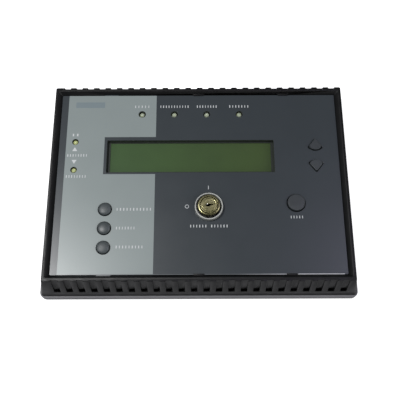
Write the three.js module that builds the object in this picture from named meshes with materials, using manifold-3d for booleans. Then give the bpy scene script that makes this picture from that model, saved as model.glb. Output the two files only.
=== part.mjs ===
// A wall-mounted fire alarm control and annunciator panel, in millimetres.
// It lies on its back: +Z is the face's normal, +X runs to its right and +Y to its top.
// The origin is the centre of the back face, which rests on the wall or the table.
import * as THREE from "three";
import { ConvexGeometry } from "three/addons/geometries/ConvexGeometry.js";
import { mergeVertices } from "three/addons/utils/BufferGeometryUtils.js";
import Module from "manifold-3d";

const wasm = await Module();
wasm.setup();

// ---------- Driving dimensions ----------

// GAP is left between pieces that touch on the real panel. OVERRUN carries a cutter past a face.
const GAP = 0.3;
const OVERRUN = 1;

// Heights of the layers, from the back.
const BACK_RIM_TOP = 6.2;
const COVER_BOTTOM = BACK_RIM_TOP + GAP;
const BOARD_TOP = 11;
const BOARD_THICK = 1.6;
const ON_BOARD = BOARD_TOP + GAP;
const FACE_Z = 28;
const RIM_Z = 31.25;
const OVERLAY_THICK = 0.4;
const PLATE_THICK = 2.2;
const PLATE_TOP = FACE_Z - OVERLAY_THICK - GAP;
const PLATE_BOTTOM = PLATE_TOP - PLATE_THICK;
const UNDER_PLATE = PLATE_BOTTOM - GAP;

// The black cover: its flat land round the face, flaring walls and the bevel down to the face.
const LAND = { x: 127.8, y: 88.8, radius: 1.5 };
const FLARE = { x: 4.3, y: 6.56 };
const BASE_RADIUS = 2;
const WALL = 3;
const LAND_WIDTH = { x: 2.5, y: 3.45 };
const LEDGE = { x: 119.4, y: 79.9, thick: 2.5 };

// Grooves down the top and bottom walls, each with a vent behind the shelf that ends it.
const GROOVE = { count: 24, pitch: 10.3, shift: 1.2, width: 5.3, topDepth: 1.1, shelfDepth: 2.1, reach: 0.72 };
const VENT = { width: 4.9, skin: 0.5, above: 0.8, below: 3 };

// The face plate, its side tongues and the cover's hooks over its edge.
const FACE = { x: 122, y: 82.55, radius: 0.8 };
const TONGUE = { x: -78, width: 12, length: 0.9 };
const HOOKS = { x: [0, 76], width: 9, overhang: 0.65, height: 1 };

// Features of the face.
const WINDOW = { x: -7, y: 22.9, width: 146, height: 30.6, radius: 0.8 };
const WIDE_WELL = 3.15;
const CLOSE_WELL = 2.75;
const LEDS = {
  alarm_led: { at: [-50.1, 63.7], well: WIDE_WELL },
  supervisory_led: { at: [-21.4, 63.7], well: WIDE_WELL },
  security_led: { at: [7.5, 63.7], well: WIDE_WELL },
  trouble_led: { at: [36.4, 63.7], well: WIDE_WELL },
  audibles_on_led: { at: [-108, 36.9], well: CLOSE_WELL },
  audibles_silenced_led: { at: [-108, 10.4], well: CLOSE_WELL },
};
const ROUND_BUTTON = 5.27;
const RESET_BUTTON = 7.4;
const BUTTONS = {
  acknowledge: { at: [-79.2, -25.9], radius: ROUND_BUTTON, stand: 2.5, dome: 1.3 },
  silence: { at: [-79.2, -42.65], radius: ROUND_BUTTON, stand: 2.5, dome: 1.3 },
  unsilence: { at: [-79.2, -59.4], radius: ROUND_BUTTON, stand: 2.5, dome: 1.3 },
  reset: { at: [82.6, -20.8], radius: RESET_BUTTON, stand: 2.1, dome: 0.5 },
  scroll_up: { at: [102.1, 33.1], turn: 0, stand: 1.8 },
  scroll_down: { at: [101.9, 13.8], turn: Math.PI, stand: 1.8 },
};
const CAP_CLEARANCE = 0.7;
const CAP_FLANGE = { wider: 1.6, thick: 1.6 };
const STEM_RADIUS = 2.2;

// The tactile switch under each button.
const SWITCH = { side: 6.4, height: 3.6, floor: 0.5 };
const PLUNGER = { radius: 1.75, sunk: 1.9, proud: 1.7 };

// The key lock.
const LOCK = { at: [8.6, -24.5], hole: 10, thread: 9.5, bottom: 14, top: 34.8, shoulder: 1.2 };
const COLLAR = { inner: 9.8, outer: 11.9, mouth: 11.35, seat: 10.5, floor: 29, top: 32.2 };
const PLUG = { head: 7.2, core: 6, headBottom: 29.3, top: 34.9, bottom: 13.5 };
const KEYWAY = { from: -2.9, to: 3.5, width: 2, bottom: 21 };
const CAM = { hub: 6, tip: 3.5, reach: 11, thick: 1.6 };

// The display module behind the window. Its viewing area is what shows.
const VIEW = { x: -7, y: 23.7, width: 141, height: 27.4 };
const LCD = { canWidth: 158, canHeight: 40, boardWidth: 182, boardHeight: 50 };
const LCD_BOARD_BOTTOM = 14.9;
const LCD_BOARD_TOP = LCD_BOARD_BOTTOM + BOARD_THICK;
const LCD_HOLES = { x: 87.5, y: 21.5 };

// Circuit board, fixings and the back plate.
const MAIN_BOARD = { x: 113, y: 74, radius: 3 };
const BOARD_SCREWS = { x: 108, y: 69 };
const CASE_SCREWS = { x: 121.5, y: 82.5 };
const BACK = { lip: 1.6, floor: 2, rim: 3.9, radius: 5 };
const CABLE_ENTRY = { x: 5, y: 36, width: 50, height: 32, radius: 3 };
const WALL_HOLES = { x: 69, y: 41.65, radius: 2.3 };

// Steps in a rounded corner, and in full turns of small, middling and large round pieces.
const CORNER_STEPS = 2;
const SMALL_ROUND = 10;
const MIDDLE_ROUND = 16;
const LARGE_ROUND = 24;

// ---------- Geometry helpers ----------

function solidOf(geometry) {
  geometry.deleteAttribute("normal");
  geometry.deleteAttribute("uv");
  const merged = mergeVertices(geometry);
  return new wasm.Manifold(
    new wasm.Mesh({
      numProp: 3,
      vertProperties: merged.attributes.position.array,
      triVerts: new Uint32Array(merged.index.array),
    }),
  );
}

function geometryOf(solid) {
  const mesh = solid.getMesh();
  const geometry = new THREE.BufferGeometry();
  geometry.setAttribute("position", new THREE.BufferAttribute(mesh.vertProperties, 3));
  geometry.setIndex(new THREE.BufferAttribute(mesh.triVerts, 1));
  const flat = geometry.toNonIndexed();
  flat.computeVertexNormals();
  return flat;
}

function drill(solid, cutters) {
  return cutters.reduce((left, cutter) => left.subtract(solidOf(cutter)), solid);
}

function cut(body, cutters) {
  return drill(solidOf(body), cutters);
}

function join(solid, additions) {
  return additions.reduce((sum, addition) => sum.add(solidOf(addition)), solid);
}

// A block given by its centre in X and Y and by the heights of its bottom and top.
function block(x, y, width, height, bottom, top) {
  return new THREE.BoxGeometry(width, height, top - bottom).translate(x, y, (bottom + top) / 2);
}

function roundedRectangle(halfX, halfY, radius, x = 0, y = 0) {
  const shape = new THREE.Shape();
  const quarter = Math.PI / 2;
  const corners = [[1, 1], [-1, 1], [-1, -1], [1, -1]];
  corners.forEach(([sideX, sideY], i) => {
    const cornerX = x + sideX * (halfX - radius);
    const cornerY = y + sideY * (halfY - radius);
    shape.absarc(cornerX, cornerY, radius, i * quarter, (i + 1) * quarter);
  });
  shape.closePath();
  return shape;
}

function prism(shape, bottom, top, curveSegments = CORNER_STEPS) {
  const settings = { depth: top - bottom, bevelEnabled: false, curveSegments };
  return new THREE.ExtrudeGeometry(shape, settings).translate(0, 0, bottom);
}

// The body between two rounded rectangles at different heights, each [halfX, halfY, radius, z].
function frustum(...ends) {
  const points = ends.flatMap(([halfX, halfY, radius, z]) =>
    roundedRectangle(halfX, halfY, radius).getPoints(CORNER_STEPS).map((p) => new THREE.Vector3(p.x, p.y, z)),
  );
  return new ConvexGeometry(points);
}

// A profile of [radius, z] points turned about a vertical axis at x, y.
function turned(profile, segments, x = 0, y = 0) {
  const points = profile.map(([radius, z]) => new THREE.Vector2(radius, z));
  return new THREE.LatheGeometry(points, segments).rotateX(Math.PI / 2).translate(x, y, 0);
}

function rod(radius, bottom, top, segments = SMALL_ROUND, x = 0, y = 0) {
  return turned([[0, bottom], [radius, bottom], [radius, top], [0, top]], segments, x, y);
}

// One small rod at each of several places.
function rods(places, radius, bottom, top) {
  return places.map(([x, y]) => rod(radius, bottom, top, SMALL_ROUND, x, y));
}

// The four places at plus and minus x and y.
function fourCorners({ x, y }, centreX = 0, centreY = 0) {
  return [[1, 1], [-1, 1], [-1, -1], [1, -1]].map(([a, b]) => [centreX + a * x, centreY + b * y]);
}

// ---------- Materials ----------

function look(color, roughness, metalness = 0) {
  return () => new THREE.MeshStandardMaterial({ color, roughness, metalness });
}

const BLACK_PLASTIC = look(0x222324, 0.55);
const GREY_PLASTIC = look(0x77787a, 0.6);
const PLATE_PLASTIC = look(0x1a1b1c, 0.6);
const OVERLAY_FILM = look(0x474b4e, 0.35);
const CLEAR_PANE = look(0xd8e0dc, 0.08);
const LCD_GREEN = look(0x4a5a35, 0.25);
const DIFFUSER = look(0xe6e6de, 0.5);
const CIRCUIT_GREEN = look(0x1f5a35, 0.45);
const CHIP_BLACK = look(0x18181a, 0.4);
const TERMINAL_GREEN = look(0x2c7a46, 0.5);
const CAPACITOR_BLUE = look(0x23314f, 0.35);
const BUTTON_GREY = look(0x55585a, 0.5);
const BUTTON_DARK = look(0x3f4346, 0.45);
const LED_LENS = look(0xc9d2a0, 0.2);
const STEEL = look(0xa9aaa6, 0.35, 0.9);
const NICKEL = look(0xb4b5ad, 0.25, 1);
const DARK_BRASS = look(0x6f6a3c, 0.35, 1);
const BRASS = look(0x9a9152, 0.28, 1);

const panel = new THREE.Group();

// Adds a named mesh to a group. What it is made from is a solid or a geometry.
function piece(name, form, material, group = panel) {
  const mesh = new THREE.Mesh(form.isBufferGeometry ? form : geometryOf(form), material());
  mesh.name = name;
  group.add(mesh);
  return mesh;
}

function place(x, y) {
  const group = new THREE.Group();
  group.position.set(x, y, 0);
  panel.add(group);
  return group;
}

// ---------- Casing ----------

// Half sizes of the cover's wall at a height, less an inset.
function wallAt(z, inset = 0) {
  const fall = (RIM_Z - z) / (RIM_Z - COVER_BOTTOM);
  return [LAND.x + fall * FLARE.x - inset, LAND.y + fall * FLARE.y - inset];
}

const SHELF_Z = RIM_Z - GROOVE.reach * (RIM_Z - COVER_BOTTOM);

// Turns a profile of [y, z] points into a cutter of one width, centred on x.
function crossCutter(profile, width, x) {
  const shape = new THREE.Shape(profile.map(([y, z]) => new THREE.Vector2(y, z)));
  const alongX = new THREE.Matrix4().makeBasis(
    new THREE.Vector3(0, 1, 0),
    new THREE.Vector3(0, 0, 1),
    new THREE.Vector3(1, 0, 0),
  );
  return new THREE.ExtrudeGeometry(shape, { depth: width, bevelEnabled: false })
    .translate(0, 0, x - width / 2)
    .applyMatrix4(alongX);
}

// The groove and the vent at one x, on the top wall.
function grooveCutters(x) {
  const shelfWall = wallAt(SHELF_Z)[1];
  const outside = shelfWall + OVERRUN;
  const landWall = LAND.y - GROOVE.topDepth;
  const groove = [
    [landWall, RIM_Z + OVERRUN],
    [landWall, RIM_Z],
    [shelfWall - GROOVE.shelfDepth, SHELF_Z],
    [outside, SHELF_Z],
    [outside, RIM_Z + OVERRUN],
  ];
  const ventInside = shelfWall - 2 * WALL;
  const ventOutside = shelfWall - VENT.skin;
  const vent = [
    [ventInside, SHELF_Z - VENT.below],
    [ventOutside, SHELF_Z - VENT.below],
    [ventOutside, SHELF_Z + VENT.above],
    [ventInside, SHELF_Z + VENT.above],
  ];
  return [crossCutter(groove, GROOVE.width, x), crossCutter(vent, VENT.width, x)];
}

function coverFrame() {
  const ledgeTop = UNDER_PLATE;
  const ledgeBottom = ledgeTop - LEDGE.thick;
  const cavityFloor = COVER_BOTTOM - OVERRUN;
  const pocket = { x: FACE.x + GAP, y: FACE.y + GAP };
  const bevel = { x: LAND.x - LAND_WIDTH.x, y: LAND.y - LAND_WIDTH.y };
  const beyond = (RIM_Z + OVERRUN - FACE_Z) / (RIM_Z - FACE_Z);
  const bevelTop = [pocket.x + (bevel.x - pocket.x) * beyond, pocket.y + (bevel.y - pocket.y) * beyond];

  const shell = frustum(
    [...wallAt(COVER_BOTTOM), BASE_RADIUS, COVER_BOTTOM],
    [LAND.x, LAND.y, LAND.radius, RIM_Z],
  );
  const hollows = [
    frustum(
      [...wallAt(cavityFloor, WALL), WALL, cavityFloor],
      [...wallAt(ledgeBottom, WALL), WALL, ledgeBottom],
    ),
    block(0, 0, 2 * LEDGE.x, 2 * LEDGE.y, ledgeBottom - OVERRUN, ledgeTop + OVERRUN),
    prism(roundedRectangle(pocket.x, pocket.y, FACE.radius), ledgeTop, FACE_Z + GAP),
    frustum([pocket.x, pocket.y, FACE.radius, FACE_Z], [...bevelTop, LAND.radius, RIM_Z + OVERRUN]),
  ];
  for (const side of [1, -1]) {
    const tongueY = side * (FACE.y + (TONGUE.length + GAP) / 2);
    const tongueLength = TONGUE.length + GAP;
    hollows.push(block(TONGUE.x, tongueY, TONGUE.width + 2 * GAP, tongueLength, ledgeTop, FACE_Z + 1.4));
    for (let i = 0; i < GROOVE.count; i += 1) {
      const x = (i - (GROOVE.count - 1) / 2) * GROOVE.pitch + side * GROOVE.shift;
      const turn = side > 0 ? 0 : Math.PI;
      hollows.push(...grooveCutters(x).map((cutter) => cutter.rotateZ(turn)));
    }
  }
  const hooks = HOOKS.x.flatMap((x) =>
    [1, -1].map((side) => {
      const depth = HOOKS.overhang + 3 * GAP;
      const centre = side * (FACE.y - HOOKS.overhang + depth / 2);
      return block(x, centre, HOOKS.width, depth, FACE_Z + GAP, FACE_Z + GAP + HOOKS.height);
    }),
  );
  const posts = rods(fourCorners(CASE_SCREWS), 4, COVER_BOTTOM, ledgeBottom + OVERRUN);
  const cover = join(cut(shell, hollows), [...hooks, ...posts]);
  return drill(cover, rods(fourCorners(CASE_SCREWS), 1.8, 0, 18));
}

function backPlate() {
  const [baseX, baseY] = wallAt(COVER_BOTTOM);
  const outer = { x: baseX + BACK.lip, y: baseY + BACK.lip };
  const entry = roundedRectangle(
    CABLE_ENTRY.width / 2,
    CABLE_ENTRY.height / 2,
    CABLE_ENTRY.radius,
    CABLE_ENTRY.x,
    CABLE_ENTRY.y,
  );
  const tray = roundedRectangle(outer.x - BACK.rim, outer.y - BACK.rim, BACK.radius - BACK.rim);
  const dished = cut(prism(roundedRectangle(outer.x, outer.y, BACK.radius), 0, BACK_RIM_TOP, 3), [
    prism(tray, BACK.floor, BACK_RIM_TOP + OVERRUN, 3),
  ]);
  const corners = fourCorners(CASE_SCREWS);
  const pads = rods(corners, 5.5, 0, BACK_RIM_TOP);
  const ribs = [-1, 1].map((side) => block(0, side * 62, 200, 1.6, 0, 4));
  const holes = [
    prism(entry, -OVERRUN, BACK.floor + OVERRUN),
    ...rods(corners, 1.8, -OVERRUN, BACK_RIM_TOP + OVERRUN),
    ...rods(corners, 3.4, -OVERRUN, 3),
    ...rods(fourCorners(WALL_HOLES), WALL_HOLES.radius, -OVERRUN, 5),
  ];
  return drill(join(dished, [...pads, ...ribs]), holes);
}

// ---------- Face ----------

// The outline of a scroll button: a rounded triangle on a bowed base, grown by a margin.
function arrowOutline(margin) {
  const scale = 1 + margin / 5.5;
  const at = (x, y) => [x * scale, y * scale];
  const shape = new THREE.Shape();
  shape.moveTo(...at(-0.8, 4.9));
  shape.quadraticCurveTo(...at(0, 6), ...at(0.8, 4.9));
  shape.lineTo(...at(5.1, -0.7));
  shape.quadraticCurveTo(...at(6.2, -2.1), ...at(4.7, -3.2));
  shape.quadraticCurveTo(...at(0, -6.7), ...at(-4.7, -3.2));
  shape.quadraticCurveTo(...at(-6.2, -2.1), ...at(-5.1, -0.7));
  shape.closePath();
  return shape;
}

function arrowPrism(button, margin, bottom, top) {
  return prism(arrowOutline(margin), bottom, top, 3).rotateZ(button.turn);
}

// Every opening in the face, cut from the plate and from the film alike.
function faceOpenings(bottom, top) {
  const window = roundedRectangle(WINDOW.width / 2, WINDOW.height / 2, WINDOW.radius, WINDOW.x, WINDOW.y);
  const openings = [prism(window, bottom, top), rod(LOCK.hole, bottom, top, LARGE_ROUND, ...LOCK.at)];
  for (const { at, well } of Object.values(LEDS)) {
    openings.push(rod(well, bottom, top, SMALL_ROUND, ...at));
  }
  for (const button of Object.values(BUTTONS)) {
    const [x, y] = button.at;
    openings.push(
      button.radius
        ? rod(button.radius + CAP_CLEARANCE, bottom, top, LARGE_ROUND, x, y)
        : arrowPrism(button, CAP_CLEARANCE, bottom, top).translate(x, y, 0),
    );
  }
  return openings;
}

// A full-face sheet with a tongue at its top and bottom edges.
function faceSheet(bottom, top) {
  const sheet = solidOf(prism(roundedRectangle(FACE.x, FACE.y, FACE.radius), bottom, top));
  const tongues = [1, -1].map((side) => {
    const root = FACE.y - OVERRUN;
    const length = TONGUE.length + OVERRUN;
    return block(TONGUE.x, side * (root + length / 2), TONGUE.width, length, bottom, top);
  });
  return drill(join(sheet, tongues), faceOpenings(bottom - OVERRUN, top + OVERRUN));
}

function facePlate() {
  const boardCorners = fourCorners(BOARD_SCREWS);
  const displayCorners = fourCorners(LCD_HOLES, VIEW.x, VIEW.y);
  const posts = [
    ...rods(boardCorners, 3.5, ON_BOARD, PLATE_BOTTOM + OVERRUN),
    ...rods(displayCorners, 3, LCD_BOARD_TOP + GAP, PLATE_BOTTOM + OVERRUN),
  ];
  const pilots = [...rods(boardCorners, 1.5, 0, 19), ...rods(displayCorners, 1.5, 0, 22)];
  return drill(join(faceSheet(PLATE_BOTTOM, PLATE_TOP), posts), pilots);
}

// ---------- Display module ----------

function displayModule() {
  const { x, y } = VIEW;
  const canTop = 23.5;
  const lip = 0.6;
  const glassTop = canTop - lip - GAP;
  const glassBottom = glassTop - 2.8;
  const can = cut(block(x, y, LCD.canWidth, LCD.canHeight, LCD_BOARD_TOP + GAP, canTop), [
    block(x, y, 151, 35, LCD_BOARD_TOP, glassTop + GAP),
    block(x, y, VIEW.width, VIEW.height, glassTop, canTop + OVERRUN),
  ]);
  const holes = rods(fourCorners(LCD_HOLES, x, y), 1.5, LCD_BOARD_BOTTOM - OVERRUN, LCD_BOARD_TOP + OVERRUN);
  const board = block(x, y, LCD.boardWidth, LCD.boardHeight, LCD_BOARD_BOTTOM, LCD_BOARD_TOP);
  piece("display_window", block(WINDOW.x, WINDOW.y, 152, 36, UNDER_PLATE - 1, UNDER_PLATE), CLEAR_PANE);
  piece("lcd_bezel", can, BLACK_PLASTIC);
  piece("lcd_glass", block(x, y, 150, 34, glassBottom, glassTop), LCD_GREEN);
  piece("lcd_backlight", block(x, y, 150, 33, LCD_BOARD_TOP + GAP, glassBottom - GAP), DIFFUSER);
  piece("lcd_board", cut(board, holes), CIRCUIT_GREEN);
  piece("display_header", block(x - 60, y + 21, 46, 2.5, ON_BOARD, LCD_BOARD_BOTTOM - GAP), CHIP_BLACK);
}

// ---------- Circuit board ----------

function mainBoard() {
  const bottom = BOARD_TOP - BOARD_THICK;
  const board = prism(roundedRectangle(MAIN_BOARD.x, MAIN_BOARD.y, MAIN_BOARD.radius), bottom, BOARD_TOP);
  const holes = rods(fourCorners(BOARD_SCREWS), 1.5, bottom - OVERRUN, BOARD_TOP + OVERRUN);
  const camAccess = rod(CAM.hub, bottom - OVERRUN, BOARD_TOP + OVERRUN, MIDDLE_ROUND, ...LOCK.at);
  return cut(board, [...holes, camAccess]);
}

// The row of field terminals on the board's back, facing the cable entry.
function terminalBlock() {
  const pitch = 5;
  const ways = 9;
  const bottom = 2.9;
  const top = BOARD_TOP - BOARD_THICK - GAP;
  const wireHoles = Array.from({ length: ways }, (_, i) => {
    const x = CABLE_ENTRY.x + (i - (ways - 1) / 2) * pitch;
    return block(x, 18, 3, 8, bottom + 1.2, top - 2);
  });
  return cut(block(CABLE_ENTRY.x, 13, ways * pitch + 2, 10, bottom, top), wireHoles);
}

function electronics() {
  piece("main_board", mainBoard(), CIRCUIT_GREEN);
  piece("terminal_block", terminalBlock(), TERMINAL_GREEN);
  piece("microcontroller", block(-30, -45, 14, 14, ON_BOARD, ON_BOARD + 1.6), CHIP_BLACK);
  piece("voltage_regulator", block(60, -58, 10, 9, ON_BOARD, ON_BOARD + 4.4), CHIP_BLACK);
  const canister = [[0, ON_BOARD], [5, ON_BOARD], [5, 21.5], [4.2, 22.3], [0, 22.3]];
  piece("supply_capacitor", turned(canister, MIDDLE_ROUND), CAPACITOR_BLUE).position.set(80, -58, 0);
  const buzzer = cut(rod(11.5, ON_BOARD, 20.3, LARGE_ROUND), [rod(1.6, 18, 22)]);
  piece("sounder", buzzer, CHIP_BLACK).position.set(35, -55, 0);
  piece("key_microswitch", block(-12, LOCK.at[1], 10, 13, ON_BOARD, ON_BOARD + 6.5), CHIP_BLACK);
}

// A light-emitting diode on its spacer, with its tip in a well below the face.
function indicator(name, [x, y]) {
  const profile = [
    [0, ON_BOARD],
    [2.6, ON_BOARD],
    [2.6, 14.6],
    [2.95, 14.6],
    [2.95, 15.6],
    [2.5, 15.6],
    [2.5, 24.7],
    [1.9, 26.8],
    [0, 27.6],
  ];
  piece(name, turned(profile, SMALL_ROUND), LED_LENS, place(x, y));
}

// ---------- Buttons ----------

const STEM_BOTTOM = ON_BOARD + SWITCH.height + PLUNGER.proud + GAP;
const FLANGE_BOTTOM = UNDER_PLATE - CAP_FLANGE.thick;

function roundCap({ radius, stand, dome }) {
  const top = FACE_Z + stand;
  const flange = radius + CAP_FLANGE.wider;
  return turned(
    [
      [0, STEM_BOTTOM],
      [STEM_RADIUS, STEM_BOTTOM],
      [STEM_RADIUS, FLANGE_BOTTOM],
      [flange, FLANGE_BOTTOM],
      [flange, UNDER_PLATE],
      [radius, UNDER_PLATE],
      [radius, top - dome],
      [radius * 0.75, top - dome * 0.25],
      [0, top],
    ],
    LARGE_ROUND,
  );
}

function arrowCap(button) {
  return join(solidOf(arrowPrism(button, 0, FLANGE_BOTTOM, FACE_Z + button.stand)), [
    arrowPrism(button, CAP_FLANGE.wider, FLANGE_BOTTOM, UNDER_PLATE),
    rod(STEM_RADIUS, STEM_BOTTOM, FLANGE_BOTTOM + 1),
  ]);
}

function pushButton(name, button) {
  const group = place(...button.at);
  const bodyTop = ON_BOARD + SWITCH.height;
  const body = block(0, 0, SWITCH.side, SWITCH.side, ON_BOARD, bodyTop);
  const well = rod(PLUNGER.radius + GAP, ON_BOARD + SWITCH.floor, bodyTop + OVERRUN);
  const plunger = rod(PLUNGER.radius, bodyTop - PLUNGER.sunk, bodyTop + PLUNGER.proud);
  const colour = button.radius === ROUND_BUTTON ? BUTTON_GREY : BUTTON_DARK;
  piece(name + "_button", button.radius ? roundCap(button) : arrowCap(button), colour, group);
  piece(name + "_plunger", plunger, CHIP_BLACK, group);
  piece(name + "_switch", cut(body, [well]), CHIP_BLACK, group);
}

// ---------- Key lock ----------

// A lever with a round hub and a round tip, pointing down the face.
function camOutline() {
  const shape = new THREE.Shape();
  shape.absarc(0, 0, CAM.hub, 0, Math.PI);
  shape.absarc(0, -CAM.reach, CAM.tip, Math.PI, 2 * Math.PI);
  shape.closePath();
  return shape;
}

function keyLock() {
  const group = place(...LOCK.at);
  const { core, head, headBottom, top, bottom } = PLUG;
  const boreCore = core + 0.4;
  const boreHead = head + 0.35;
  const boreStep = headBottom - GAP;
  const barrel = [
    [boreCore, LOCK.bottom],
    [LOCK.thread, LOCK.bottom],
    [LOCK.thread, LOCK.top - LOCK.shoulder],
    [LOCK.thread - 0.3, LOCK.top - 0.4],
    [LOCK.thread - 1, LOCK.top],
    [boreHead, LOCK.top],
    [boreHead, boreStep],
    [boreCore, boreStep],
    [boreCore, LOCK.bottom],
  ];
  const plug = [
    [0, bottom],
    [core, bottom],
    [core, headBottom],
    [head, headBottom],
    [head, top - 0.4],
    [head - 0.4, top],
    [0, top],
  ];
  // The dress ring is a shallow cup that stands round the barrel's head.
  const collar = [
    [COLLAR.inner, FACE_Z + GAP],
    [COLLAR.outer, FACE_Z + GAP],
    [COLLAR.outer, COLLAR.top - 0.4],
    [COLLAR.outer - 0.2, COLLAR.top],
    [COLLAR.mouth, COLLAR.top],
    [COLLAR.seat, COLLAR.floor],
    [COLLAR.inner, COLLAR.floor],
    [COLLAR.inner, FACE_Z + GAP],
  ];
  const keywayLength = KEYWAY.to - KEYWAY.from;
  const keywayX = KEYWAY.from + keywayLength / 2;
  const keyway = block(keywayX, 0, keywayLength, KEYWAY.width, KEYWAY.bottom, top + OVERRUN);
  const camTop = bottom - GAP;
  const camBottom = camTop - CAM.thick;
  const screwHeadTop = camBottom - GAP;
  const shank = 1.5;
  piece("lock_collar", turned(collar, LARGE_ROUND), NICKEL, group);
  piece("lock_barrel", turned(barrel, LARGE_ROUND), DARK_BRASS, group);
  const plugBody = cut(turned(plug, LARGE_ROUND), [keyway, rod(shank + GAP, 0, 18)]);
  piece("lock_plug", plugBody, BRASS, group);
  const hexagon = rod(14, UNDER_PLATE - 2.5, UNDER_PLATE, 6);
  const nutHole = rod(LOCK.thread + GAP, 20, FACE_Z, LARGE_ROUND);
  piece("lock_nut", cut(hexagon, [nutHole]), STEEL, group);
  const cam = cut(prism(camOutline(), camBottom, camTop, 5), [rod(shank + GAP, 0, FACE_Z)]);
  piece("lock_cam", cam, STEEL, group);
  piece("cam_screw", screw(shank, 3, screwHeadTop - 1.9, screwHeadTop, 17.5), STEEL, group);
}

// ---------- Fixings ----------

// A slotted pan screw driven upwards: its head from headBottom to headTop and its shank to tip.
function screw(shank, head, headBottom, headTop, tip) {
  const profile = [
    [0, headBottom],
    [head * 0.8, headBottom],
    [head, headBottom + 0.5],
    [head, headTop],
    [shank, headTop],
    [shank, tip - 0.8],
    [0, tip],
  ];
  const slot = block(0, 0, 2.2 * head, 0.8, headBottom - OVERRUN, headBottom + 0.6);
  return cut(turned(profile, SMALL_ROUND), [slot]);
}

function fixings() {
  fourCorners(CASE_SCREWS).forEach(([x, y], i) => {
    piece("case_screw_" + (i + 1), screw(1.5, 3, 0.5, 2.7, 17), STEEL, place(x, y));
  });
  fourCorners(BOARD_SCREWS).forEach(([x, y], i) => {
    const headTop = BOARD_TOP - BOARD_THICK - GAP;
    piece("board_screw_" + (i + 1), screw(1.2, 2.5, headTop - 1.7, headTop, 18), STEEL, place(x, y));
  });
  fourCorners(LCD_HOLES, VIEW.x, VIEW.y).forEach(([x, y], i) => {
    const headTop = LCD_BOARD_BOTTOM - GAP;
    piece("lcd_screw_" + (i + 1), screw(1.2, 2.2, headTop - 1.4, headTop, 21), STEEL, place(x, y));
  });
}

// ---------- The panel ----------

piece("bezel_frame", coverFrame(), BLACK_PLASTIC);
piece("back_plate", backPlate(), GREY_PLASTIC);
piece("face_plate", facePlate(), PLATE_PLASTIC);
piece("face_overlay", faceSheet(FACE_Z - OVERLAY_THICK, FACE_Z), OVERLAY_FILM);
displayModule();
electronics();
Object.entries(LEDS).forEach(([name, { at }]) => indicator(name, at));
Object.entries(BUTTONS).forEach(([name, button]) => pushButton(name, button));
keyLock();
fixings();

export default panel;
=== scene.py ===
import math
import random

import bmesh
import bpy
from mathutils import Matrix, Vector


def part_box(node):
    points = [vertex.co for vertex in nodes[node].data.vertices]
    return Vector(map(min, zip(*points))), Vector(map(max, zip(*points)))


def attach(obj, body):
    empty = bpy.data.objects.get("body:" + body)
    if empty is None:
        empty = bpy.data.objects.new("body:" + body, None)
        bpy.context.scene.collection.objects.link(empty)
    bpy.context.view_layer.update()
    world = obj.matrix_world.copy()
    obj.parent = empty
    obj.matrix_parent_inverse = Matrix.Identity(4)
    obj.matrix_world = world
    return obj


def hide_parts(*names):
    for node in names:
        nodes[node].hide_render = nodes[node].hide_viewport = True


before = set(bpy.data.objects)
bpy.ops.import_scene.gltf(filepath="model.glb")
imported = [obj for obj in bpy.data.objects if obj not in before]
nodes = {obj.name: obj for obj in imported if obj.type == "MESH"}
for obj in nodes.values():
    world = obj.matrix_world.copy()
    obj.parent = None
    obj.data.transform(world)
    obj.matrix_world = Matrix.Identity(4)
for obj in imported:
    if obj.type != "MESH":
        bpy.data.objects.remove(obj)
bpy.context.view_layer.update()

MM = 0.001


# ---------- Places taken from the frame ----------


def low_high(node):
    low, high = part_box(node)
    return low / MM, high / MM


def middle(node):
    low, high = low_high(node)
    return (low + high) / 2


FACE_Z = low_high("face_overlay")[1].z
FILM_BOTTOM = low_high("face_overlay")[0].z
FLANGE_TOP = low_high("display_window")[1].z
FACE_HALF_X = low_high("face_overlay")[1].x
LOCK = middle("lock_collar")

# ---------- Layout of the printed face ----------

FACE_HALF_Y = 82.55
FACE_CORNER = 0.8
TONGUE = {"x": -78, "half": 6, "length": 0.9}
WINDOW = {"low": (-80, 7.6), "high": (66, 38.2), "radius": 0.8}
LIGHT_AREA = {"low": (-116, -82.4), "high": (-37.5, 82.4)}
DISPLAY_BORDER = {"left": -82.4, "low": 6.2, "high": 41.4}
# The thin strip along the film's bottom edge that carries a painted highlight.
HIGHLIGHT_STRIP = {"low": (-115.5, -82.47), "high": (119.0, -82.02), "radius": 0.1}
BADGE = {"low": (-109.5, 70.3), "high": (-83.6, 75.9), "radius": 0.6}
PRINT_BOTTOM = FACE_Z - 0.01
PRINT_TOP = FACE_Z + 0.02
MARK_TOP = FACE_Z + 0.035
PRINT_CLEARANCE = 0.15
WIDE_WELL = 3.15
CLOSE_WELL = 2.75
CAP_CLEARANCE = 0.7
CAP_FLANGE = 1.6
FLANGE_DEPTH = 1.6
ROUND_RISE = 1.25
RESET_RISE = 0.4
LOCK_HOLE = 10.0
LAMPS = [
    "alarm_led",
    "supervisory_led",
    "security_led",
    "trouble_led",
    "audibles_on_led",
    "audibles_silenced_led",
]
ROUND_KEYS = ["acknowledge", "silence", "unsilence", "reset"]
ARROW_KEYS = {"scroll_up": 0.0, "scroll_down": math.pi}

# Printed legends stand as rows of small blank bars: (left, right, middle height, bars).
LEGENDS = [
    (-57.7, -42.9, 71.3, 5),
    (-34.8, -8.0, 71.3, 11),
    (-2.1, 17.1, 71.3, 8),
    (26.8, 45.6, 71.3, 7),
    (-70.3, -39.4, -25.9, 11),
    (-70.0, -52.9, -42.5, 7),
    (-69.7, -45.7, -58.9, 9),
    (-8.0, 7.2, -41.0, 6),
    (9.6, 25.0, -41.0, 6),
    (76.6, 88.5, -33.3, 5),
    (-112.0, -104.5, 43.6, 2),
    (-115.0, -96.5, 24.0, 8),
    (-115.0, -96.5, 4.2, 8),
]
BAR_HEIGHT = 2.4
BAR_SHARE = (0.22, 0.34)

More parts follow.
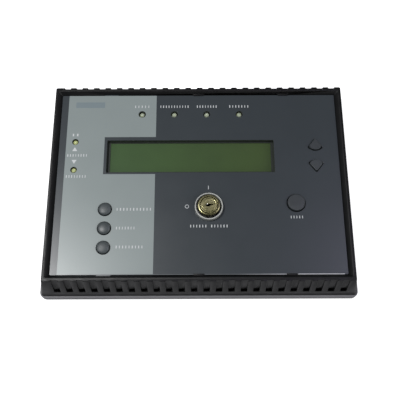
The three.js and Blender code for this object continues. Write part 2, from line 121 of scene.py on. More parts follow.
# The two direction marks: (middle height, 1 for up or -1 for down).
POINTERS = [(29.9, 1), (18.0, -1)]
POINTER_X = (-110.3, -108.1, -105.9)
POINTER_BASE = 1.75
POINTER_TIP = 1.95

# The key's two positions: an upright bar above the lock and a ring at its left.
TOP_SIGN = {"low": (8.15, -8.1), "high": (8.65, -4.8), "radius": 0.2}
LEFT_SIGN = {"x": -9.9, "y": -23.6, "outer": 1.7, "inner": 1.25}

# ---------- Sizes of the lamps and the lock ----------

LENS = {"radius": 2.5, "skirt": 2.6, "flange": 2.95, "flange_low": 3.3, "flange_high": 4.3, "dome": 2.9}
STEM_RADIUS = 2.2

# RING's inner, seat and mouth are measured inwards from its edge, its floor up from its foot.
# CASE's recess and PLUG's head and dip are measured down from their tops.
RING = {"inner": 2.1, "seat": 1.4, "mouth": 1.1, "floor": 0.7, "outer_round": 0.35, "mouth_round": 0.3}
CASE = {"shoulder": 1.0, "recess": 5.8, "gap": 0.35, "core_gap": 0.4}
PLUG = {"radius": 7.2, "core": 6.0, "head": 5.6, "chamfer": 0.35, "dip": 0.05}
# The groove in the plug's top: inwards from its edge, at the top and the foot of each flank.
PLUG_GROOVE = {"outer": (1.2, 1.35), "inner": (1.6, 1.75), "depth": 0.2}
KEYWAY_FLOOR = 21.0
PIN = {"x": -1.6, "y": 0.7, "stem": 0.45, "head": 0.7, "length": 3.5, "neck": (1.6, 2.0), "dome": 0.7}

# ---------- Mesh helpers ----------


def add(name, bm):
    """Makes an object of a bmesh in millimetres."""
    bmesh.ops.recalc_face_normals(bm, faces=bm.faces)
    bmesh.ops.scale(bm, vec=(MM, MM, MM), verts=bm.verts)
    mesh = bpy.data.meshes.new(name)
    bm.to_mesh(mesh)
    bm.free()
    obj = bpy.data.objects.new(name, mesh)
    bpy.context.scene.collection.objects.link(obj)
    return obj


def soften(obj, width, segments=2, angle=30):
    """Rounds an object's sharp edges to a width in millimetres."""
    for polygon in obj.data.polygons:
        polygon.use_smooth = True
    bevel = obj.modifiers.new("rounded edges", "BEVEL")
    bevel.width = width * MM
    bevel.segments = segments
    bevel.limit_method = "ANGLE"
    bevel.angle_limit = math.radians(angle)
    bevel.use_clamp_overlap = False
    bevel.harden_normals = True
    return obj


def arc(x, y, radius, start, end, steps):
    """Points on an arc, its angles in degrees, both ends included."""
    angles = [math.radians(start + (end - start) * i / steps) for i in range(steps + 1)]
    return [(x + radius * math.cos(a), y + radius * math.sin(a)) for a in angles]


def circle(x, y, radius, steps=40):
    return arc(x, y, radius, 0, 360, steps)[:-1]


def rectangle(low, high, radius, steps=4):
    """The outline of a rectangle with rounded corners."""
    corners = [
        (high[0] - radius, high[1] - radius, 0),
        (low[0] + radius, high[1] - radius, 90),
        (low[0] + radius, low[1] + radius, 180),
        (high[0] - radius, low[1] + radius, 270),
    ]
    return [p for x, y, start in corners for p in arc(x, y, radius, start, start + 90, steps)]


def fill(bm, outlines, bottom, top):
    """Adds to bm the flat solid between 2-D outlines: the first is outside, the rest are holes."""
    edges = []
    for outline in outlines:
        verts = [bm.verts.new((x, y, bottom)) for x, y in outline]
        edges += [bm.edges.new((a, b)) for a, b in zip(verts, verts[1:] + verts[:1])]
    filled = bmesh.ops.triangle_fill(bm, edges=edges, use_beauty=True)
    faces = [f for f in filled["geom"] if isinstance(f, bmesh.types.BMFace)]
    raised = bmesh.ops.extrude_face_region(bm, geom=faces, use_keep_orig=True)
    verts = [v for v in raised["geom"] if isinstance(v, bmesh.types.BMVert)]
    bmesh.ops.translate(bm, verts=verts, vec=(0, 0, top - bottom))


def plate(name, outlines, bottom, top):
    bm = bmesh.new()
    fill(bm, outlines, bottom, top)
    return add(name, bm)


def turn(name, profile, centre, steps=48):
    """Turns (radius, height) points about a vertical axis. A profile off the axis closes on itself."""
    bm = bmesh.new()
    rings = []
    for radius, height in profile:
        count = steps if radius > 0 else 1
        ring = []
        for i in range(count):
            angle = 2 * math.pi * i / steps
            place = (centre.x + radius * math.cos(angle), centre.y + radius * math.sin(angle), height)
            ring.append(bm.verts.new(place))
        rings.append(ring)
    pairs = list(zip(rings, rings[1:]))
    if profile[0][0] > 0:
        pairs.append((rings[-1], rings[0]))
    for lower, upper in pairs:
        for i in range(steps):
            corners = [lower[i % len(lower)], lower[(i + 1) % len(lower)]]
            corners += [upper[(i + 1) % len(upper)], upper[i % len(upper)]]
            bm.faces.new(dict.fromkeys(corners))
    return add(name, bm)


def dome(radius, edge, top):
    """Profile points from the rim of a shallow dome to its crown."""
    steps = 8
    angles = [math.pi / 2 * i / steps for i in range(steps)]
    return [(radius * math.cos(a), edge + (top - edge) * math.sin(a)) for a in angles] + [(0, top)]


def copy_of(name, node):
    """The CAD node's own shape, as a clean mesh without its flat triangles."""
    same_place = 2e-6
    bm = bmesh.new()
    bm.from_mesh(nodes[node].data)
    bmesh.ops.remove_doubles(bm, verts=bm.verts, dist=same_place)
    bmesh.ops.dissolve_limit(bm, angle_limit=math.radians(1), verts=bm.verts, edges=bm.edges)
    bmesh.ops.scale(bm, vec=(1 / MM,) * 3, verts=bm.verts)
    return add(name, bm)


def stand_for(obj, node, slot, body="root", material=None):
    """The piece rides on a body, stands for a CAD node if any, and takes a slot and its material."""
    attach(obj, body)
    if node:
        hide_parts(node)
    obj.data.materials.clear()
    obj.data.materials.append(material or MATERIALS[slot])


# ---------- Materials ----------


class Look:
    """A Principled material and the nodes that feed it."""

    def __init__(self, name, roughness=0.5, metallic=0.0, specular=0.5):
        self.material = bpy.data.materials.new(name)
        self.material.use_nodes = True
        self.tree = self.material.node_tree
        self.shader = self.tree.nodes["Principled BSDF"]
        self.set(roughness, "Roughness")
        self.set(metallic, "Metallic")
        self.set(specular, "Specular IOR Level")
        self.place = self.node("ShaderNodeTexCoord").outputs["Object"]

    def node(self, kind, inputs=None, **settings):
        made = self.tree.nodes.new(kind)
        for key, value in settings.items():
            setattr(made, key, value)
        for key, value in (inputs or {}).items():
            if isinstance(value, bpy.types.NodeSocket):
                self.tree.links.new(value, made.inputs[key])
            else:
                made.inputs[key].default_value = value
        return made

    def set(self, value, key):
        if isinstance(value, bpy.types.NodeSocket):
            self.tree.links.new(value, self.shader.inputs[key])
        else:
            self.shader.inputs[key].default_value = value

    def noise(self, size, detail=3.0, rough=0.5):
        """Noise whose features are about size millimetres across."""
        inputs = {"Vector": self.place, "Scale": 1 / (size * MM), "Detail": detail, "Roughness": rough}
        return self.node("ShaderNodeTexNoise", inputs).outputs["Fac"]

    def span(self, value, low, high, from_low=0.3, from_high=0.7):
        """The value mapped on low to high; the usual input range is that of noise."""
        inputs = {"Value": value, "From Min": from_low, "From Max": from_high, "To Min": low, "To Max": high}
        return self.node("ShaderNodeMapRange", inputs).outputs["Result"]

    def mix(self, amount, first, second):
        """A colour between two others."""
        made = self.node("ShaderNodeMix", data_type="RGBA")
        for index, value in ((0, amount), (6, first), (7, second)):
            if isinstance(value, bpy.types.NodeSocket):
                self.tree.links.new(value, made.inputs[index])
            else:
                made.inputs[index].default_value = value if index == 0 else (*value, 1.0)[:4]
        return made.outputs[2]

    def maths(self, operation, first, second=0.0):
        return self.node("ShaderNodeMath", {0: first, 1: second}, operation=operation).outputs[0]

    def bump(self, height, strength, depth):
        """Relief of depth millimetres."""
        inputs = {"Height": height, "Strength": strength, "Distance": depth * MM}
        return self.node("ShaderNodeBump", inputs).outputs["Normal"]

    def axis(self, name):
        return self.node("ShaderNodeSeparateXYZ", {"Vector": self.place}).outputs[name]

    def edges(self):
        """0 on flat stretches, 1 on worn outer edges."""
        pointed = self.node("ShaderNodeNewGeometry").outputs["Pointiness"]
        return self.span(pointed, 0.0, 1.0, 0.52, 0.6)


def shade(colour, amount):
    return tuple(min(1.0, c * amount) for c in colour)


def moulded(name, colour, roughness, grain=0.35, relief=0.03, mottle=0.12, specular=0.5, wear=0.5):
    """Moulded plastic: a fine spark-eroded grain, slight mottling and rubbed edges."""
    look = Look(name, specular=specular)
    cloud = look.noise(28, 2)
    tone = look.mix(look.span(cloud, 0, 1), shade(colour, 1 - mottle), shade(colour, 1 + mottle))
    rubbed = look.maths("MULTIPLY", look.edges(), wear)
    look.set(look.mix(rubbed, tone, shade(colour, 1.9)), "Base Color")
    smears = look.noise(9, 4)
    look.set(look.span(smears, roughness - 0.05, roughness + 0.06), "Roughness")
    grain_height = look.noise(grain, 2, 0.6)
    look.set(look.bump(grain_height, 0.6, relief), "Normal")
    return look.material


def metal(name, colour, roughness, mottle=0.15, relief=0.004, bare=1.0):
    """Plated or bare metal with fine marks and a little tarnish."""
    look = Look(name, metallic=bare)
    stain = look.noise(4, 4)
    tone = look.mix(look.span(stain, 0, 1), shade(colour, 1 - mottle), colour)
    rubbed = look.maths("MULTIPLY", look.edges(), 0.3)
    look.set(look.mix(rubbed, tone, shade(colour, 1.4)), "Base Color")
    look.set(look.span(look.noise(1.2, 3), roughness - 0.07, roughness + 0.1), "Roughness")
    marks = look.noise(0.5, 3)
    look.set(look.bump(marks, 0.25, relief), "Normal")
    return look.material


def lock_brass(name, top, roughness):
    """Turned brass with random tarnish, and painted shade: darker on its lower side, near-black on its lower
    rim and down its sides.
    """
    light, dark, painted_shade = (0.42, 0.39, 0.22), (0.29, 0.27, 0.13), (0.04, 0.036, 0.022)
    look = Look(name, metallic=1.0)
    stained = look.mix(look.span(look.noise(3, 4), 0, 1), dark, light)
    # Painted shade: the lower side is mixed towards a darker brass.
    upper = look.span(look.axis("Y"), 0, 1, (LOCK.y - 8.5) * MM, (LOCK.y - 2) * MM)
    shaded_below = look.mix(upper, shade(dark, 0.75), stained)
    # Painted shade: near-black on the lower rim and everywhere more than about a millimetre below the top,
    # the keyway's walls too.
    rim_shade_mask = look.span(look.axis("Y"), 0, 1, (LOCK.y - 9.3) * MM, (LOCK.y - 7.6) * MM)
    near_top = look.span(look.axis("Z"), 0, 1, (top - 1.3) * MM, (top - 0.3) * MM)
    look.set(look.mix(look.maths("MULTIPLY", rim_shade_mask, near_top), painted_shade, shaded_below), "Base Color")
    look.set(look.span(look.noise(1.5, 3), roughness - 0.05, roughness + 0.07), "Roughness")
    look.set(look.bump(look.noise(0.5, 3), 0.1, 0.001), "Normal")
    return look.material


def film(name, colour, roughness):
    """Screen-printed polycarbonate film: a fine velvet texture under a satin sheen."""
    look = Look(name)
    cloud = look.noise(60, 2)
    look.set(look.mix(look.span(cloud, 0, 1), shade(colour, 0.97), shade(colour, 1.03)), "Base Color")
    smudges = look.noise(22, 5, 0.6)
    look.set(look.span(smudges, roughness - 0.015, roughness + 0.02), "Roughness")
    look.set(look.bump(look.noise(0.22, 2), 0.25, 0.004), "Normal")
    return look.material


def edge_highlight_paint():
    """A painted highlight along the film's bottom edge: patchy, and brighter towards its right end."""
    look = Look("painted film edge highlight", roughness=0.25)
    # Painted highlight: the strip's colour lightens from left to right, broken up by noise.
    glow = look.span(look.axis("X"), 0, 1, 0.03, 0.085)
    highlight_patchiness = look.span(look.noise(7, 3), 0.75, 1.0)
    amount = look.maths("MULTIPLY", glow, highlight_patchiness)
    look.set(look.mix(amount, (0.14, 0.15, 0.16), (0.85, 0.86, 0.9)), "Base Color")
    return look.material


def display_glass():
    """Unlit transflective display: green, browner to the right, with a faint grid of cells."""
    look = Look("display green", roughness=0.3, specular=0.3)
    low, high = low_high("lcd_glass")
    across = look.span(look.axis("X"), 0, 1, low.x * MM, high.x * MM)
    hue = look.mix(across, (0.076, 0.152, 0.05), (0.07, 0.112, 0.031))
    cells = []
    for name, pitch in (("X", 0.72), ("Y", 0.78)):
        wave = look.maths("SINE", look.maths("MULTIPLY", look.axis(name), 2 * math.pi / (pitch * MM)))
        cells.append(look.span(wave, 0, 1, 0.75, 1.0))
    grid = look.maths("MULTIPLY", look.maths("MAXIMUM", cells[0], cells[1]), 0.1)
    look.set(look.mix(grid, hue, (0.035, 0.07, 0.025)), "Base Color")
    look.set(look.bump(look.noise(0.5, 2), 0.1, 0.003), "Normal")
    return look.material


def pane():
    """Clear acrylic with a faint haze."""
    look = Look("clear pane")
    look.set((0.05, 0.06, 0.055, 1.0), "Base Color")
    look.set(look.span(look.noise(18, 4), 0.04, 0.12), "Roughness")
    look.set(look.span(look.noise(35, 2), 0.09, 0.13), "Alpha")
    return look.material


def lens(name, colour):
    """Diffused pale epoxy: cloudy inside, smooth outside."""
    look = Look(name, roughness=0.22)
    cloud = look.noise(1.6, 3)
    look.set(look.mix(look.span(cloud, 0, 1), shade(colour, 0.9), shade(colour, 1.05)), "Base Color")
    look.set(0.35, "Subsurface Weight")
    look.set((1.0, 1.0, 0.6), "Subsurface Radius")
    look.set(0.0015, "Subsurface Scale")
    look.set(look.bump(look.noise(0.9, 2), 0.15, 0.01), "Normal")
    return look.material


def printed_board():
    """Green solder mask with copper tracks under it and pads."""
    look = Look("circuit board", roughness=0.32)
    stretched = look.node("ShaderNodeMapping", {"Vector": look.place, "Scale": (1.0, 0.35, 1.0)})
    runs = look.node("ShaderNodeTexVoronoi", {"Vector": stretched.outputs[0], "Scale": 260.0},
                     feature="DISTANCE_TO_EDGE", distance="MINKOWSKI").outputs["Distance"]
    tracks = look.span(runs, 1, 0, 0.02, 0.05)
    tone = look.mix(tracks, (0.008, 0.075, 0.028), (0.02, 0.16, 0.05))
    dots = look.node("ShaderNodeTexVoronoi", {"Vector": look.place, "Scale": 210.0, "Randomness": 0.35})
    pads = look.span(dots.outputs["Distance"], 1, 0, 0.1, 0.14)
    look.set(look.mix(pads, tone, (0.62, 0.6, 0.52)), "Base Color")
    look.set(look.bump(look.maths("ADD", tracks, pads), 0.4, 0.04), "Normal")
    return look.material


def make_materials():
    """The materials by slot."""
    return {
        "cover_black": moulded(
            "cover black", (0.004, 0.0041, 0.0044), 0.41, grain=0.45, relief=0.035, specular=0.3),
        "back_grey": moulded(
            "back grey", (0.16, 0.159, 0.167), 0.55, grain=0.5, relief=0.03, mottle=0.05, wear=0.2),
        "plate_black": moulded("plate black", (0.045, 0.052, 0.045), 0.5, grain=0.4, relief=0.02),
        "overlay_film": film("charcoal film", (0.0375, 0.0455, 0.0515), 0.3),
        "clear_window": pane(),
        "lcd_frame_black": moulded(
            "display frame", (0.022, 0.028, 0.02), 0.5, grain=0.3, relief=0.01, wear=0.1),
        "lcd_green": display_glass(),
        "diffuser_white": moulded(
            "diffuser", (0.8, 0.8, 0.74), 0.5, grain=0.6, relief=0.01, mottle=0.02, wear=0.0),
        "circuit_board": printed_board(),
        "component_black": moulded("component", (0.02, 0.02, 0.022), 0.5, grain=0.25, relief=0.015),
        "terminal_green": moulded(
            "terminal", (0.03, 0.25, 0.09), 0.42, grain=0.5, relief=0.02, mottle=0.06, wear=0.2),
        "capacitor_sleeve": moulded(
            "sleeve", (0.03, 0.04, 0.11), 0.35, grain=0.8, relief=0.01, mottle=0.06, wear=0.2),
        "button_grey": moulded(
            "grey key", (0.063, 0.074, 0.077), 0.4, grain=0.4, relief=0.03, mottle=0.1, wear=0.4),
        "button_dark": moulded(
            "dark key", (0.036, 0.042, 0.046), 0.42, grain=0.4, relief=0.02, mottle=0.08),
        "led_lens": lens("pale lens", (0.43, 0.48, 0.35)),
        "nickel": metal("nickel", (0.46, 0.47, 0.44), 0.5, mottle=0.06, relief=0.001, bare=0.2),
        "dull_brass": lock_brass("dull brass", low_high("lock_barrel")[1].z, 0.26),
        "brass": lock_brass("brass", low_high("lock_plug")[1].z, 0.31),
        "zinc_steel": metal("zinc plate", (0.55, 0.56, 0.57), 0.34),
    }


MATERIALS = make_materials()
LIGHT_PRINT = film("light grey print", (0.253, 0.292, 0.286), 0.3)
MARK_PRINT = film("white print", (0.58, 0.6, 0.6), 0.42)
BADGE_PRINT = film("slate print", (0.19, 0.235, 0.25), 0.36)
EDGE_HIGHLIGHT = edge_highlight_paint()
PIN_STEEL = metal("pin steel", (0.8, 0.8, 0.78), 0.12, mottle=0.05, relief=0.0005)
YELLOW_LENS = lens("yellow lens", (0.58, 0.63, 0.29))

# ---------- Casing ----------


def casing():
    cover = soften(copy_of("cover_shell", "bezel_frame"), 0.3, 2, 25)
    stand_for(cover, "bezel_frame", "cover_black")
    back = soften(copy_of("back_tray", "back_plate"), 0.4, 3, 25)
    stand_for(back, "back_plate", "back_grey")


# ---------- Face ----------


def arrow_outline(key, turn_angle, margin=0.0):
    """A rounded triangle on a bowed base, grown by a margin."""
    usual_reach = 5.5
    scale = 1 + margin / usual_reach
    steps = 6
    curves = [
        ((-0.8, 4.9), (0, 6), (0.8, 4.9)),
        ((5.1, -0.7), (6.2, -2.1), (4.7, -3.2)),
        ((4.7, -3.2), (0, -6.7), (-4.7, -3.2)),
        ((-4.7, -3.2), (-6.2, -2.1), (-5.1, -0.7)),
    ]
    points = []
    for a, b, c in curves:
        for i in range(steps + 1):
            t = i / steps
            x = (1 - t) ** 2 * a[0] + 2 * t * (1 - t) * b[0] + t * t * c[0]
            y = (1 - t) ** 2 * a[1] + 2 * t * (1 - t) * b[1] + t * t * c[1]
            if not points or math.dist(points[-1], (x, y)) > 1e-6:
                points.append((x, y))
    centre = stem_centre(key)
    spin = Matrix.Rotation(turn_angle, 2)
    turned = [spin @ Vector((x * scale, y * scale)) for x, y in points]
    return [(centre.x + p.x, centre.y + p.y) for p in turned]


def stem_centre(key):
    """A key's own axis: the middle of the plunger under it."""
    return middle(key + "_plunger")


def cap_radius(key):
    """A round cap's radius: the CAD node's widest part is its hidden flange."""
    low, high = low_high(key + "_button")
    return (high.x - low.x) / 2 - CAP_FLANGE


def openings(margin=0.0):
    """Every opening in the face, by the name of what is in it."""
    holes = {"window": rectangle(WINDOW["low"], WINDOW["high"], WINDOW["radius"])}
    for lamp in LAMPS:
        place = middle(lamp)
        well = CLOSE_WELL if lamp.startswith("audibles") else WIDE_WELL
        holes[lamp] = circle(place.x, place.y, well + margin, 32)
    for key in ROUND_KEYS:
        place = stem_centre(key)
        holes[key] = circle(place.x, place.y, cap_radius(key) + CAP_CLEARANCE + margin)
    for key, angle in ARROW_KEYS.items():
        holes[key] = arrow_outline(key, angle, CAP_CLEARANCE + margin)
    holes["lock"] = circle(LOCK.x, LOCK.y, LOCK_HOLE + margin, 48)
    return holes


def sheet_outline():
    """The face's outline, with its tongues at the top and the bottom."""
    x, y, corner = FACE_HALF_X, FACE_HALF_Y, FACE_CORNER
    left, right = TONGUE["x"] - TONGUE["half"], TONGUE["x"] + TONGUE["half"]
    reach = y + TONGUE["length"]
    return [
        *arc(x - corner, y - corner, corner, 0, 90, 4),
        (right, y), (right, reach), (left, reach), (left, y),
        *arc(-x + corner, y - corner, corner, 90, 180, 4),
        *arc(-x + corner, -y + corner, corner, 180, 270, 4),
        (left, -y), (left, -reach), (right, -reach), (right, -y),
        *arc(x - corner, -y + corner, corner, 270, 360, 4),
    ]


def on_film(piece, material):
    """A print or the painted highlight strip on the film, which stands for no CAD node of its own."""
    stand_for(piece, None, "overlay_film", material=material)


def face():
    holes = openings()
    sheet = plate("face_film", [sheet_outline(), *holes.values()], FILM_BOTTOM, FACE_Z)
    stand_for(soften(sheet, 0.08, 1), "face_overlay", "overlay_film")

    low, high = LIGHT_AREA["low"], LIGHT_AREA["high"]
    border = DISPLAY_BORDER
    area = [
        low, (high[0], low[1]), (high[0], border["low"]), (border["left"], border["low"]),
        (border["left"], border["high"]), (high[0], border["high"]), high, (low[0], high[1]),
    ]
    inside = ["alarm_led", "audibles_on_led", "audibles_silenced_led", "acknowledge", "silence", "unsilence"]
    wider = openings(PRINT_CLEARANCE)
    light = plate("light_print", [area, *(wider[name] for name in inside)], PRINT_BOTTOM, PRINT_TOP)
    on_film(light, LIGHT_PRINT)

    # Painted highlight: a thin strip along the film's bottom edge.
    strip = rectangle(HIGHLIGHT_STRIP["low"], HIGHLIGHT_STRIP["high"], HIGHLIGHT_STRIP["radius"], 2)
    on_film(plate("painted_highlight_strip", [strip], PRINT_BOTTOM, MARK_TOP), EDGE_HIGHLIGHT)

    badge = rectangle(BADGE["low"], BADGE["high"], BADGE["radius"])
    on_film(plate("blank_badge", [badge], PRINT_BOTTOM, MARK_TOP), BADGE_PRINT)
    marks()


def marks():
    """White print: rows of blank bars for the legends, direction marks and the key's two positions."""
    random.seed(4)
    bm = bmesh.new()
    for left, right, y, bars in LEGENDS:
        pitch = (right - left) / bars
        for i in range(bars):
            width = pitch * random.uniform(*BAR_SHARE)
            x = left + pitch * (i + 0.5)
            low = (x - width / 2, y - BAR_HEIGHT / 2)
            high = (x + width / 2, y + BAR_HEIGHT / 2)
            fill(bm, [rectangle(low, high, 0.12, 2)], PRINT_BOTTOM, MARK_TOP)
    left, tip, right = POINTER_X
    for y, way in POINTERS:
        base = y - POINTER_BASE * way
        fill(bm, [[(left, base), (right, base), (tip, y + POINTER_TIP * way)]], PRINT_BOTTOM, MARK_TOP)
    fill(bm, [rectangle(TOP_SIGN["low"], TOP_SIGN["high"], TOP_SIGN["radius"], 2)], PRINT_BOTTOM, MARK_TOP)
    ring = [circle(LEFT_SIGN["x"], LEFT_SIGN["y"], LEFT_SIGN[edge], 24) for edge in ("outer", "inner")]
    fill(bm, ring, PRINT_BOTTOM, MARK_TOP)
    on_film(add("printed_marks", bm), MARK_PRINT)


# ---------- Lamps and keys ----------


def lamps():
    for lamp in LAMPS:
        low, high = low_high(lamp)
        bottom, top = low.z, high.z
        flange_bottom, flange_top = bottom + LENS["flange_low"], bottom + LENS["flange_high"]
        profile = [
            (0, bottom), (LENS["skirt"], bottom), (LENS["skirt"], flange_bottom),
            (LENS["flange"], flange_bottom), (LENS["flange"], flange_top), (LENS["radius"], flange_top),
            *dome(LENS["radius"], top - LENS["dome"], top),
        ]
        made = turn(lamp.replace("_led", "_lamp"), profile, middle(lamp), 32)
        material = YELLOW_LENS if lamp.startswith("audibles") else None
        stand_for(soften(made, 0.12, 2, 40), lamp, "led_lens", material=material)


def key_stem(bottom, radius):
    """Profile points of a round cap's stem and flange, up to where the cap goes on."""
    flange_bottom = FLANGE_TOP - FLANGE_DEPTH
    wide = radius + CAP_FLANGE
    return [
        (0, bottom), (STEM_RADIUS, bottom), (STEM_RADIUS, flange_bottom),
        (wide, flange_bottom), (wide, FLANGE_TOP), (radius, FLANGE_TOP),
    ]


def keys():
    for key in ROUND_KEYS:
        low, high = low_high(key + "_button")
        radius = cap_radius(key)
        rise = RESET_RISE if key == "reset" else ROUND_RISE
        profile = [*key_stem(low.z, radius), *dome(radius, high.z - rise, high.z)]
        cap = turn(key + "_cap", profile, stem_centre(key), 56)
        slot = "button_dark" if key == "reset" else "button_grey"
        stand_for(soften(cap, 0.3, 3, 35), key + "_button", slot, key + "_key")
    for key, angle in ARROW_KEYS.items():
        top = low_high(key + "_button")[1].z
        bm = bmesh.new()
        fill(bm, [arrow_outline(key, angle)], FLANGE_TOP - FLANGE_DEPTH / 2, top)
        fill(bm, [arrow_outline(key, angle, CAP_FLANGE)], FLANGE_TOP - FLANGE_DEPTH, FLANGE_TOP)
        cap = add(key + "_cap", bm)
        stand_for(soften(cap, 0.4, 3, 40), key + "_button", "button_dark", key + "_key")


# ---------- Key lock ----------


def lock_ring():
    low, high = low_high("lock_collar")
    outer, top = (high.x - low.x) / 2, high.z
    inner, seat, mouth = outer - RING["inner"], outer - RING["seat"], outer - RING["mouth"]
    floor = low.z + RING["floor"]
    outer_round, mouth_round = RING["outer_round"], RING["mouth_round"]
    profile = [
        (inner, low.z), (outer, low.z),
        *arc(outer - outer_round, top - outer_round, outer_round, 0, 90, 5),
        *arc(mouth + mouth_round, top - mouth_round, mouth_round, 100, 170, 4),
        (seat, floor), (inner, floor),
    ]
    stand_for(soften(turn("lock_ring", profile, LOCK, 72), 0.08, 2, 40), "lock_collar", "nickel")


def lock_case():
    low, high = low_high("lock_barrel")
    radius, top = (high.x - low.x) / 2, high.z
    bore, head_bore = PLUG["core"] + CASE["core_gap"], PLUG["radius"] + CASE["gap"]
    step, shoulder = top - CASE["recess"], CASE["shoulder"]
    profile = [
        (bore, low.z), (radius, low.z),
        *arc(radius - shoulder, top - shoulder, shoulder, 0, 90, 6),
        (head_bore, top), (head_bore, step), (bore, step),
    ]
    stand_for(soften(turn("lock_case", profile, LOCK, 72), 0.1, 2, 30), "lock_barrel", "dull_brass")


def lock_core():
    low, high = low_high("lock_plug")
    core, radius, top = PLUG["core"], PLUG["radius"], high.z
    head, chamfer, shelf = top - PLUG["head"], PLUG["chamfer"], top - PLUG["dip"]
    groove = top - PLUG_GROOVE["depth"]
    outer, inner = PLUG_GROOVE["outer"], PLUG_GROOVE["inner"]
    profile = [
        (0, low.z), (core, low.z), (core, head), (radius, head), (radius, top - chamfer),
        (radius - chamfer, shelf), (radius - outer[0], shelf), (radius - outer[1], groove),
        (radius - inner[0], groove), (radius - inner[1], top), (0, top),
    ]
    turned = turn("lock_core", profile, LOCK, 64)
    carve(turned, plate("keyway_cutter", [keyway_outline()], KEYWAY_FLOOR, top + 1))
    stand_for(soften(turned, 0.12, 2, 30), "lock_plug", "brass", "lock_rotor")

    foot = top - PIN["length"]
    neck = [foot + height for height in PIN["neck"]]
    stem, head = PIN["stem"], PIN["head"]
    crown = dome(head, top - PIN["dome"], top)
    profile = [(0, foot), (stem, foot), (stem, neck[0]), (head, neck[1]), *crown]
    first_pin = turn("first_pin", profile, Vector((LOCK.x + PIN["x"], LOCK.y + PIN["y"], 0)), 24)
    stand_for(soften(first_pin, 0.03, 2, 35), None, "nickel", "lock_rotor", PIN_STEEL)


def keyway_outline():
    """A warded keyway: a slot with one round end and a step along each side."""
    x, y = LOCK.x, LOCK.y
    return [
        (x - 2.7, y - 0.9), (x - 2.2, y - 1.4), (x + 0.2, y - 1.4), (x + 1.6, y - 0.45),
        *arc(x + 3.0, y + 0.05, 0.5, -90, 90, 4),
        (x + 1.6, y + 0.55), (x + 1.6, y + 1.0), (x - 0.4, y + 1.0), (x - 0.4, y + 0.6),
        (x - 1.4, y + 0.6), (x - 1.4, y + 1.0), (x - 2.3, y + 1.0), (x - 2.7, y + 0.7),
    ]


def carve(obj, cutter):
    """Cuts one shape out of another and removes the cutter."""
    boolean = obj.modifiers.new("cut", "BOOLEAN")
    boolean.operation = "DIFFERENCE"
    boolean.solver = "EXACT"
    boolean.object = cutter
    graph = bpy.context.evaluated_depsgraph_get()
    carved = bpy.data.meshes.new_from_object(obj.evaluated_get(graph))
    obj.modifiers.clear()
    obj.data = carved
    bpy.data.objects.remove(cutter)


# ---------- Carried-over pieces ----------

SLOTS = {
    "plate_black": ["face_plate"],
    "clear_window": ["display_window"],
    "lcd_frame_black": ["lcd_bezel"],
    "lcd_green": ["lcd_glass"],
    "diffuser_white": ["lcd_backlight"],
    "circuit_board": ["lcd_board", "main_board"],
    "terminal_green": ["terminal_block"],
    "capacitor_sleeve": ["supply_capacitor"],
    "component_black": [
        "display_header", "microcontroller", "voltage_regulator", "sounder", "key_microswitch",
    ],
    "zinc_steel": ["lock_nut", "lock_cam", "cam_screw"],
}


def dress():
    """Gives every carried-over CAD node the material of its slot."""
    for key in [*ROUND_KEYS, *ARROW_KEYS]:
        SLOTS["component_black"] += [key + "_plunger", key + "_switch"]
    for kind in ("case_screw_", "board_screw_", "lcd_screw_"):
        SLOTS["zinc_steel"] += [kind + str(i + 1) for i in range(4)]
    for slot, names in SLOTS.items():
        for name in names:
            nodes[name].material_slots[0].material = MATERIALS[slot]


# ---------- Studio ----------


# Each light: name, place and size in metres, watts, colour.
LIGHTS = [
    ("key", (-0.49, 0.1, 1.2), 0.3, 8.6, (1, 1, 1)),
    ("left side", (-1.6, -0.3, 1.2), 0.9, 5.0, (0.94, 0.98, 1.03)),
    ("right side", (1.6, -0.3, 1.2), 0.9, 9.5, (1, 1, 1)),
    ("right glow", (0.62, 0.2, 1.3), 0.4, 1.5, (0.95, 0.85, 1.2)),
    ("front", (0.35, -1.2, 1.0), 0.5, 2.2, (1, 1, 1)),
]
LIT_PLACE = Vector((0, 0, 0.02))
FLOOR = {"half": 6000, "height": -0.15, "glow": 0.85}
FELT_STRENGTH = 0.12
EYE = {"place": (0.00115, -0.20553, 0.54390), "tilt": 20, "roll": -0.0037, "lens": 58.2}


def soft_light(name, place, size, power, colour):
    data = bpy.data.lights.new(name, "AREA")
    data.shape = "DISK"
    data.size = size
    data.energy = power
    data.color = colour
    light = bpy.data.objects.new(name, data)
    light.location = place
    bpy.context.scene.collection.objects.link(light)
    light.rotation_euler = (LIT_PLACE - light.location).to_track_quat("-Z", "Y").to_euler()


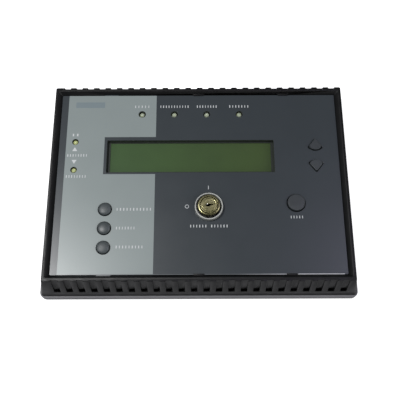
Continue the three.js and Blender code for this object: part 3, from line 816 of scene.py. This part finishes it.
def lay_floor():
    """A pale floor that the camera sees nearly white."""
    bm = bmesh.new()
    bmesh.ops.create_grid(bm, x_segments=2, y_segments=2, size=FLOOR["half"])
    bmesh.ops.translate(bm, verts=bm.verts, vec=(0, 0, FLOOR["height"]))
    floor = add("studio_floor", bm)
    look = Look("floor white", roughness=0.9, specular=0.1)
    look.set(look.mix(look.noise(400, 2), (0.72, 0.72, 0.72), (0.74, 0.74, 0.74)), "Base Color")
    look.set((1.0, 1.0, 1.0, 1.0), "Emission Color")
    seen = look.node("ShaderNodeLightPath").outputs["Is Camera Ray"]
    look.set(look.maths("MULTIPLY", seen, FLOOR["glow"]), "Emission Strength")
    floor.data.materials.append(look.material)


def surroundings():
    """A background the camera sees as pale grey, which lights the panel only faintly."""
    world = bpy.data.worlds.new("studio")
    bpy.context.scene.world = world
    world.use_nodes = True
    tree = world.node_tree
    seen = tree.nodes["Background"]
    seen.inputs["Color"].default_value = (0.97, 0.97, 0.97, 1)
    felt = tree.nodes.new("ShaderNodeBackground")
    felt.inputs["Color"].default_value = (0.93, 0.97, 1.0, 1)
    felt.inputs["Strength"].default_value = FELT_STRENGTH
    path = tree.nodes.new("ShaderNodeLightPath")
    blend = tree.nodes.new("ShaderNodeMixShader")
    tree.links.new(path.outputs["Is Camera Ray"], blend.inputs[0])
    tree.links.new(felt.outputs[0], blend.inputs[1])
    tree.links.new(seen.outputs[0], blend.inputs[2])
    tree.links.new(blend.outputs[0], tree.nodes["World Output"].inputs["Surface"])


def studio():
    lay_floor()
    for light in LIGHTS:
        soft_light(*light)
    surroundings()
    bpy.context.scene.view_settings.view_transform = "Standard"


def camera():
    data = bpy.data.cameras.new("camera")
    data.lens = EYE["lens"]
    eye = bpy.data.objects.new("camera", data)
    eye.location = EYE["place"]
    tilt = Matrix.Rotation(math.radians(EYE["tilt"]), 4, "X")
    roll = Matrix.Rotation(EYE["roll"], 4, "Z")
    eye.rotation_euler = (tilt @ roll).to_euler()
    bpy.context.scene.collection.objects.link(eye)
    bpy.context.scene.camera = eye


camera()
studio()
casing()
face()
lamps()
keys()
lock_ring()
lock_case()
lock_core()
dress()
